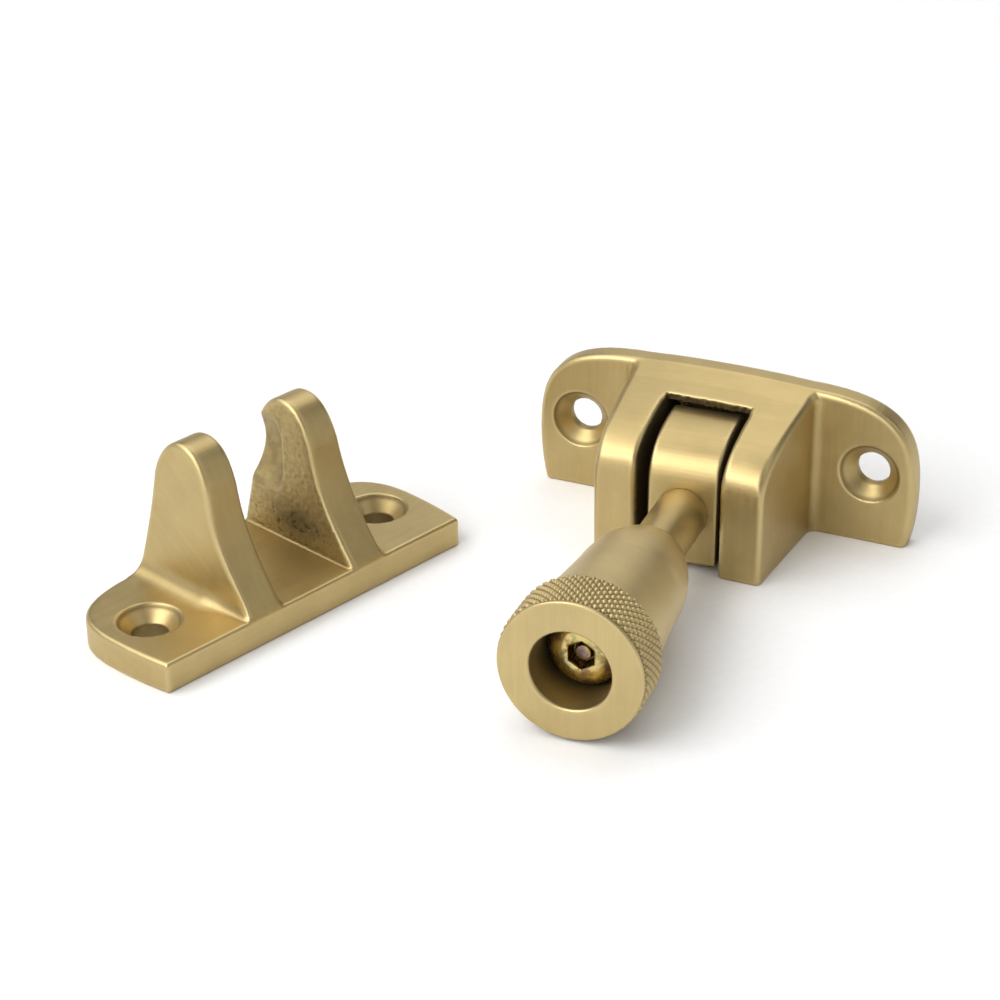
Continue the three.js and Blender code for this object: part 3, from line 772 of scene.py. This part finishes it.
def keep_piece():
    low = (-KEEP_HALF_LENGTH, 0, 0)
    high = (KEEP_HALF_LENGTH, KEEP_DEPTH, HORN_HEIGHT)
    points, quads, normal, edge = casting_mesh(keep_field, low, high)
    x, y, z = points.T
    holes = hole_shade(*keep_hole_place(x, y, z))
    # The horns' inner faces were left as cast: rough, with a few pits and a dark patch low down.
    in_seat = (np.hypot(x, z - SEAT_HEIGHT) < SEAT_RADIUS + 0.4) * (y > SEAT_FLOOR_Y - 0.2)
    inner = band(-normal[:, 0] * np.sign(x), 0.75, 0.95) * (1 - in_seat)
    inner = inner * (np.abs(x) < HORN_INNER_X + 0.6) * (z > KEEP_THICKNESS)
    rough = noise(points, 1.6, 4)
    shift = inner * (rough - 0.6) * 0.2
    pits = inner * band(-z, -10.5, -8.0) * band(noise(points + 31.0, 1.9, 2), 0.68, 0.76)
    shift = shift - pits * 0.18
    points = points + normal * shift[:, None]
    (patch_y, reach_y), (patch_z, reach_z) = HORN_STAIN
    patch = np.exp(-(((y - patch_y) / reach_y) ** 2 + ((z - patch_z) / reach_z) ** 2))
    stain = 0.62 * patch * (0.75 + 0.25 * band(noise(points, 1.1, 4), 0.3, 0.7))
    stain = stain + 0.06 * band(rough, 0.5, 0.7)
    seat_stain = in_seat * (0.18 + 0.16 * band(noise(points + 7.0, 0.7, 3), 0.4, 0.65))
    # Stains and darker pits, plus painted shade in the countersunk holes.
    dirt_and_shade = np.clip(np.maximum(inner * stain, seat_stain) + pits * 0.3 + holes, 0, 0.9)
    cast = np.clip(inner * 0.8 + in_seat * 0.3, 0, 1)
    direction = np.tile(ALONG_X, (len(points), 1))
    above_plate = z > KEEP_THICKNESS
    direction[(np.abs(normal[:, 0]) > 0.75) & above_plate] = HORN_FLANK_BRUSHING
    direction[(normal[:, 1] < -0.5) & (z > KEEP_THICKNESS + 0.5)] = HORN_FRONT_BRUSHING
    return make_object("keep_body", points, quads, KEEP_MATRIX, CAST_BRASS, {
        "grain": grain(points, direction), "edge": edge, "cast": cast, "dirt_and_shade": dirt_and_shade,
    })


# ---- turned pieces -----------------------------------------------------------------------------
ON_AXIS = 1e-6


def round_ring(row, radius, along, angles):
    return np.full(len(angles), radius)


def lathe(rings, segments, closed, radius_at=round_ring):
    """Points and faces turned about the local Y axis. A ring is (radius, y)."""
    angles = np.arange(segments) * (2 * math.pi / segments)
    points, starts = [], []
    for row, (radius, along) in enumerate(rings):
        starts.append((len(points), radius < ON_AXIS))
        if radius < ON_AXIS:
            points.append((0.0, along, 0.0))
            continue
        radii = radius_at(row, radius, along, angles)
        points.extend(zip(radii * np.cos(angles), np.full(segments, along), radii * np.sin(angles)))
    faces = []
    pairs = list(zip(starts, starts[1:])) + ([(starts[-1], starts[0])] if closed else [])
    for (a, a_tip), (b, b_tip) in pairs:
        for i in range(segments):
            j = (i + 1) % segments
            if a_tip:
                faces.append((a, b + j, b + i))
            elif b_tip:
                faces.append((a + i, a + j, b))
            else:
                faces.append((a + i, a + j, b + j, b + i))
    return np.array(points), faces


MARK_STRETCH = 0.03


def turned_grain(points, straight):
    """Turning marks run round the axis; where straight is true they are brushed upright."""
    round_marks = points * [MARK_STRETCH, 1.0, MARK_STRETCH]
    upright_marks = points * [1.0, MARK_STRETCH, MARK_STRETCH]
    return np.where(straight[:, None], upright_marks, round_marks)


KNURL_COUNT = 52
KNURL_PITCH = 1.26
KNURL_DEPTH = 0.42
KNURL_PAD = 0.62
KNURL_STEPS = 10
BARREL_STEPS = 24
NOSE_STEPS = 24


def nut_piece():
    def at(depth):
        return depth - NUT_FACE_REACH

    rings = [(COUNTERBORE_RADIUS, at(COUNTERBORE_DEPTH))]
    rings += [(COUNTERBORE_RADIUS, at(d)) for d in np.linspace(COUNTERBORE_DEPTH - 0.5, 0.4, 9)]
    rings += [(COUNTERBORE_RADIUS + r, at(d)) for r, d in ((0.05, 0.22), (0.2, 0.05), (0.32, 0.0))]
    rings += [(r, at(0.0)) for r in np.linspace(COUNTERBORE_RADIUS + 0.9, NUT_RIM_RADIUS - 0.6, 6)]
    rim_corner = ((-0.22, 0.0), (-0.07, 0.05), (0.0, 0.2), (0.02, 0.42))
    rings += [(NUT_RIM_RADIUS + r, at(d)) for r, d in rim_corner]
    knurl_from = len(rings)
    step = KNURL_PITCH / KNURL_STEPS
    depths = np.arange(KNURL_FRONT - 0.12, KNURL_BACK + 0.13, step)
    rings += [(KNURL_RADIUS, at(d)) for d in depths]
    knurl_to = len(rings)
    rings += [(KNURL_RADIUS - KNURL_DEPTH - 0.35, at(KNURL_BACK + 0.32))]
    rings += [(BARREL_FRONT_RADIUS + 0.12, at(BARREL_STEP - 0.05))]
    rings += [(BARREL_FRONT_RADIUS, at(BARREL_STEP + 0.1))]
    for depth in np.linspace(BARREL_STEP + 0.5, NOSE_START, BARREL_STEPS):
        t = (depth - BARREL_STEP) / (NOSE_START - BARREL_STEP)
        rings.append((BARREL_FRONT_RADIUS + (NOSE_RADIUS - BARREL_FRONT_RADIUS) * t, at(depth)))
    for i in range(1, NOSE_STEPS + 1):
        along = (NUT_LENGTH - NOSE_START) * i / NOSE_STEPS
        radius = NOSE_RADIUS * math.sqrt(1 - (along / NOSE_REACH) ** 2)
        rings.append((radius, at(NOSE_START + along)))
    rings += [(NUT_MOUTH_RADIUS + 0.1, at(NUT_LENGTH)), (NUT_MOUTH_RADIUS, at(NUT_LENGTH - 0.15))]
    rings += [(NUT_MOUTH_RADIUS, at(NUT_THREAD_END)), (NUT_THREAD_RADIUS, at(NUT_THREAD_END))]
    rings += [(NUT_THREAD_RADIUS, at(COUNTERBORE_DEPTH))]
    segments = KNURL_COUNT * KNURL_STEPS

    def radius_at(row, radius, along, angles):
        if not knurl_from <= row < knurl_to:
            return round_ring(row, radius, along, angles)
        turn = KNURL_COUNT * angles / (2 * math.pi)
        travel = (along - rings[knurl_from][1]) / KNURL_PITCH
        ridges = [np.abs(2 * ((turn + sign * travel) % 1) - 1) for sign in (-1, 1)]
        pad = np.clip(np.minimum(*ridges) / KNURL_PAD, 0, 1)
        depth = along + NUT_FACE_REACH
        ends = min((depth - KNURL_FRONT + 0.12) / 0.3, (KNURL_BACK + 0.12 - depth) / 0.4, 1.0)
        return radius - KNURL_DEPTH * (1 - pad * max(ends, 0.0))

    points, faces = lathe(rings, segments, True, radius_at)
    depth = points[:, 1] + NUT_FACE_REACH
    radius = np.hypot(points[:, 0], points[:, 2])
    on_face = (depth < 0.04) & (radius > COUNTERBORE_RADIUS + 0.1)
    in_knurl = (depth > 0.5) & (depth < KNURL_BACK + 0.3) & (radius > BARREL_FRONT_RADIUS)
    # Painted highlight on the knurl's diamond tops and painted shade in its grooves.
    edge = np.where(in_knurl, (radius - KNURL_RADIUS + KNURL_DEPTH * 0.5) * 4.0, 0.0)
    # Painted highlight on the face's outer rim and on the counterbore's lip.
    rim = (depth < 0.45) & (radius > NUT_RIM_RADIUS - 0.25)
    lip = (depth < 0.3) & (radius < COUNTERBORE_RADIUS + 0.34) & (radius > COUNTERBORE_RADIUS - 0.1)
    edge = np.where(rim | lip, 0.8, edge)
    # Painted shade down the counterbore, darker towards its floor.
    bore = (radius < COUNTERBORE_RADIUS + 0.02) & (depth > 0.3)
    dirt_and_shade = np.where(bore, 0.3 + 0.4 * band(depth, 2.0, 9.0), 0.0)
    # Painted shade in the knurl's grooves.
    cut = in_knurl & (depth < KNURL_BACK + 0.12)
    groove = np.where(cut, band(KNURL_RADIUS - radius, 0.12, 0.4), 0.0)
    return make_object("nut_body", points, faces, ARM_PLACE, TURNED_BRASS, {
        "grain": turned_grain(points, on_face), "edge": edge, "cast": np.zeros(len(points)),
        "dirt_and_shade": np.maximum(dirt_and_shade, groove * 0.55),
    })


THREAD_PITCH = 1.25
THREAD_DEPTH = 0.55
STUD_SEGMENTS = 72


def stud_piece():
    end = -NUT_FACE_REACH + HEAD_RECESS + HEAD_HEIGHT + GAP
    shoulder = -KNUCKLE_FRONT - 0.03
    bore = SCREW_RADIUS + GAP
    rings = [(0.0, end + SCREW_LENGTH), (bore, end + SCREW_LENGTH), (bore, end)]
    rings += [(THREAD_RADIUS - 0.5, end)]
    thread_from = len(rings)
    rings += [(THREAD_RADIUS, a) for a in np.arange(end + 0.2, -THREAD_START - 0.1, THREAD_PITCH / 8)]
    thread_to = len(rings)
    rings += [(THREAD_RADIUS, -THREAD_START), (SHANK_RADIUS, -THREAD_START + GAP)]
    rings += [(SHANK_RADIUS, a) for a in np.linspace(-THREAD_START + 1, shoulder - 0.6, 16)]
    rings += [(SHANK_RADIUS, shoulder - 0.2), (SHANK_RADIUS - 0.03, shoulder - 0.06)]
    rings += [(SHANK_RADIUS - 0.12, shoulder), (TENON_RADIUS, shoulder)]
    rings += [(TENON_RADIUS, -TENON_START), (0.0, -TENON_START)]

    def radius_at(row, radius, along, angles):
        if not thread_from <= row < thread_to:
            return round_ring(row, radius, along, angles)
        wave = (along / THREAD_PITCH - angles / (2 * math.pi)) % 1
        return radius - THREAD_DEPTH * np.clip(1.15 - np.abs(2 * wave - 1) * 1.3, 0, 1)

    points, faces = lathe(rings, STUD_SEGMENTS, False, radius_at)
    zero = np.zeros(len(points))
    # Painted shade where the shank meets the knuckle.
    root = band(points[:, 1], -KNUCKLE_FRONT - 1.6, -KNUCKLE_FRONT - 0.5)
    return make_object("stem", points, faces, ARM_PLACE, TURNED_BRASS, {
        "grain": turned_grain(points, zero.astype(bool)), "edge": zero, "cast": zero,
        "dirt_and_shade": root * 0.15,
    })


SCREW_SEGMENTS = 96
HEAD_STEPS = 14


def screw_piece():
    crown = -NUT_FACE_REACH + HEAD_RECESS
    underside = crown + HEAD_HEIGHT
    rings = [(0.0, underside + SCREW_LENGTH), (SCREW_RADIUS - 0.4, underside + SCREW_LENGTH)]
    rings += [(SCREW_RADIUS, underside + SCREW_LENGTH - 0.5), (SCREW_RADIUS, underside)]
    rings += [(HEAD_RADIUS - 0.25, underside), (HEAD_RADIUS - 0.05, underside - 0.1)]
    rings += [(HEAD_RADIUS, underside - 0.3)]
    for step in range(HEAD_STEPS, -1, -1):
        angle = step / HEAD_STEPS * 90 * DEGREE
        radius = HEAD_FLAT_RADIUS + (HEAD_RADIUS - HEAD_FLAT_RADIUS) * math.sin(angle)
        rings.append((radius, crown + (HEAD_HEIGHT - HEAD_LAND) * (1 - math.cos(angle))))
    flat = SOCKET_ACROSS_FLATS / 2
    hexagon = [(flat + 0.12, crown + 0.02), (flat + 0.02, crown + 0.12), (flat, crown + 0.3)]
    hexagon += [(flat, crown + SOCKET_DEPTH - 0.1), (flat - 0.12, crown + SOCKET_DEPTH)]
    hex_from = len(rings)
    rings += hexagon
    hex_to = len(rings)
    tip = crown + SOCKET_PIN_SETBACK
    rings += [(SOCKET_PIN_RADIUS, crown + SOCKET_DEPTH), (SOCKET_PIN_RADIUS, tip + 0.2)]
    rings += [(SOCKET_PIN_RADIUS - 0.05, tip + 0.06), (SOCKET_PIN_RADIUS - 0.18, tip), (0.0, tip)]

    def radius_at(row, radius, along, angles):
        if not hex_from <= row < hex_to:
            return round_ring(row, radius, along, angles)
        sixth = (angles + math.pi / 6) % (math.pi / 3) - math.pi / 6
        return radius / np.cos(sixth)

    points, faces = lathe(rings, SCREW_SEGMENTS, False, radius_at)
    along, radius = points[:, 1], np.hypot(points[:, 0], points[:, 2])
    # Painted shade deep in the hex socket and on the pin's end.
    deep = band(along, crown + 0.25, crown + 0.8) * (radius < flat * 1.2)
    in_head = along < underside - 0.3
    pin_end = (radius < SOCKET_PIN_RADIUS + 0.01) * (along < tip + 0.3)
    dirt_and_shade = deep * in_head * (1 - pin_end) * 0.8 + pin_end * 0.25
    return make_object("screw_body", points, faces, ARM_PLACE, YELLOW_ZINC, {"dirt_and_shade": dirt_and_shade})


PIN_CHAMFER = 0.15
PIN_SEGMENTS = 48


def pin_piece():
    low, high = PIN_ENDS
    end_radius = PIN_RADIUS - PIN_CHAMFER
    rings = [(0.0, low), (end_radius, low), (PIN_RADIUS, low + PIN_CHAMFER)]
    rings += [(PIN_RADIUS, high - PIN_CHAMFER), (end_radius, high), (0.0, high)]
    points, faces = lathe(rings, PIN_SEGMENTS, False)
    turn = Matrix.Rotation(-90 * DEGREE, 4, "Z")
    place = Matrix.Translation(Vector(PIVOT) * MM) @ turn
    return make_object("pin_rod", points, faces, place, STEEL)


finish_piece(body_piece(), "fastener", "body_casting")
finish_piece(pin_piece(), "fastener", "pivot_pin")
finish_piece(knuckle_piece(), "arm", "knuckle")
finish_piece(stud_piece(), "arm", "stem_stud")
finish_piece(nut_piece(), "nut", "thumb_nut")
finish_piece(screw_piece(), "screw", "locking_screw")
finish_piece(keep_piece(), "keep", "keep_casting")

# ---- stage -------------------------------------------------------------------------------------
FLOOR_HALF = 3.0
FLOOR_TONES = ((0.90, 0.90, 0.90), (0.925, 0.925, 0.925))


def floor():
    mesh = bpy.data.meshes.new("floor")
    h = FLOOR_HALF
    mesh.from_pydata([(-h, -h, 0), (h, -h, 0), (h, h, 0), (-h, h, 0)], [], [(0, 1, 2, 3)])
    s = Shader("floor_paint")
    place = s.node("ShaderNodeTexCoord").outputs["Object"]
    tone = s.noise(place, 900.0, 3.0, 0.6)
    s.feed(s.bsdf.inputs["Base Color"], s.mix(s.spread(tone, 0.3, 0.7), *FLOOR_TONES))
    s.bsdf.inputs["Roughness"].default_value = 0.9
    s.bsdf.inputs["Specular IOR Level"].default_value = 0.1
    mesh.materials.append(s.material)
    obj = bpy.data.objects.new("floor", mesh)
    bpy.context.scene.collection.objects.link(obj)


CENTRE = (-0.015, -0.035, 0.01)
LIGHT_SIZE = 0.8
LIGHT_DISTANCE = 1.1
# Name, azimuth and elevation in degrees, power in watts. Azimuth 270 is in front of the fastener.
STUDIO_LIGHTS = (
    ("key", 235, 45, 7.9),
    ("left", 180, 50, 3.8),
    ("front", 270, 30, 3.9),
    ("right", 0, 45, 1.8),
    ("back_high", 100, 60, 3.4),
    ("back_low", 100, 28, 1.0),
    ("top", 0, 89, 1.0),
)


def area_light(name, azimuth, elevation, power):
    data = bpy.data.lights.new(name, "AREA")
    data.shape = "SQUARE"
    data.size = LIGHT_SIZE
    data.energy = power
    az, el = azimuth * DEGREE, elevation * DEGREE
    aim = Vector((math.cos(az) * math.cos(el), math.sin(az) * math.cos(el), math.sin(el)))
    obj = bpy.data.objects.new(name, data)
    obj.location = Vector(CENTRE) + aim * LIGHT_DISTANCE
    obj.rotation_euler = (-aim).to_track_quat("-Z", "Y").to_euler()
    bpy.context.scene.collection.objects.link(obj)


SKY_STRENGTH = 1.05


def world():
    """Soft light at and below the horizon, which has faded out 30 degrees above it."""
    made = bpy.data.worlds.new("studio")
    bpy.context.scene.world = made
    made.use_nodes = True
    tree = made.node_tree
    back = tree.nodes["Background"]
    coord = tree.nodes.new("ShaderNodeTexCoord")
    split = tree.nodes.new("ShaderNodeSeparateXYZ")
    tree.links.new(coord.outputs["Generated"], split.inputs[0])
    ramp = tree.nodes.new("ShaderNodeValToRGB")
    tree.links.new(split.outputs["Z"], ramp.inputs["Fac"])
    ramp.color_ramp.elements[0].position = 0.0
    ramp.color_ramp.elements[0].color = (1, 1, 1, 1)
    ramp.color_ramp.elements[1].position = 0.5
    ramp.color_ramp.elements[1].color = (0, 0, 0, 1)
    tree.links.new(ramp.outputs["Color"], back.inputs["Color"])
    back.inputs["Strength"].default_value = SKY_STRENGTH


floor()
world()
for light in STUDIO_LIGHTS:
    area_light(*light)

# ---- camera ------------------------------------------------------------------------------------
CAMERA_AZIMUTH = 24.76 * DEGREE
CAMERA_ELEVATION = 28.34 * DEGREE
CAMERA_ROLL = -0.77 * DEGREE
CAMERA_TARGET = Vector((-19.46, -37.14, 15.57)) * MM
CAMERA_DISTANCE = 383.47 * MM
CAMERA_LENS = 100.31


def camera():
    data = bpy.data.cameras.new("camera")
    data.sensor_fit = "HORIZONTAL"
    data.sensor_width = 36.0
    data.lens = CAMERA_LENS
    data.clip_start, data.clip_end = 0.01, 20.0
    az, el = CAMERA_AZIMUTH, CAMERA_ELEVATION
    back = Vector((math.sin(az) * math.cos(el), -math.cos(az) * math.cos(el), math.sin(el)))
    right = (-back).cross(Vector((0, 0, 1))).normalized()
    up = back.cross(right).normalized()
    rolled_right = right * math.cos(CAMERA_ROLL) + up * math.sin(CAMERA_ROLL)
    rolled_up = -right * math.sin(CAMERA_ROLL) + up * math.cos(CAMERA_ROLL)
    turn = Matrix((rolled_right, rolled_up, back)).transposed().to_4x4()
    obj = bpy.data.objects.new("camera", data)
    obj.matrix_world = Matrix.Translation(CAMERA_TARGET + back * CAMERA_DISTANCE) @ turn
    bpy.context.scene.collection.objects.link(obj)
    bpy.context.scene.camera = obj


camera()
bpy.context.scene.view_settings.view_transform = "Standard"
bpy.context.scene.view_settings.look = "None"
